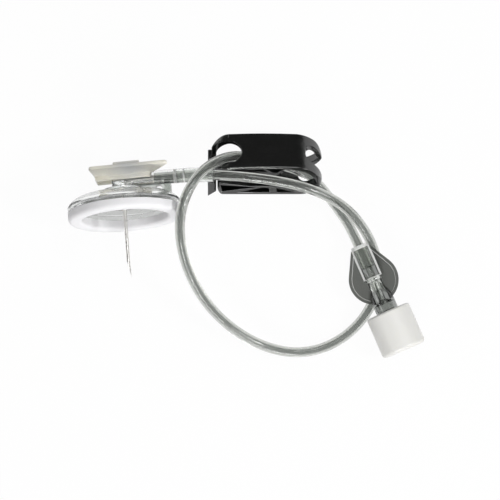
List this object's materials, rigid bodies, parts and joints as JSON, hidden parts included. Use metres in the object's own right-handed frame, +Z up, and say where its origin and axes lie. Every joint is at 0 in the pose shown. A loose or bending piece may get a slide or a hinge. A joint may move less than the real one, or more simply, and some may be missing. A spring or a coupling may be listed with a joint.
{
  "type": "huber needle",
  "caption": "Right-angle infusion needle set: padded round base with bent needle, soft grip wings, clear tube with pinch clamp, and a capped winged luer connector.",
  "frame": {"origin": "on the table, under the middle of the needle head's box (needle, pad, base, hub, wings and sleeve)", "axes": "+Z up off the table the set lies on, +X from the needle head towards the pinch clamp, the needle points along -Y"},
  "size_m": [0.089, 0.0562, 0.0284],
  "materials": {
    "needle_steel": "polished steel",
    "foam": "soft closed-cell foam",
    "clear_plastic": "clear moulded plastic",
    "soft_wing": "frosted soft vinyl",
    "sleeve_vinyl": "clear soft vinyl",
    "tube_vinyl": "clear flexible tube",
    "clamp_plastic": "black satin plastic",
    "connector_plastic": "clear moulded plastic",
    "cap_plastic": "white satin plastic"
  },
  "bodies": {
    "set": {"needle": "needle_steel", "foam_pad": "foam", "base_plate": "clear_plastic", "hub": "clear_plastic", "wings": "soft_wing", "strain_relief": "sleeve_vinyl", "tubing": "tube_vinyl", "pinch_clamp": "clamp_plastic", "luer_connector": "connector_plastic"},
    "cap": {"luer_cap": "cap_plastic"}
  },
  "joints": [
    {"name": "cap_slide", "type": "slide", "parent": "set", "child": "cap", "axis": [0.4001, -0.9157, 0.0384], "range_m": [0, 0.012]}
  ]
}
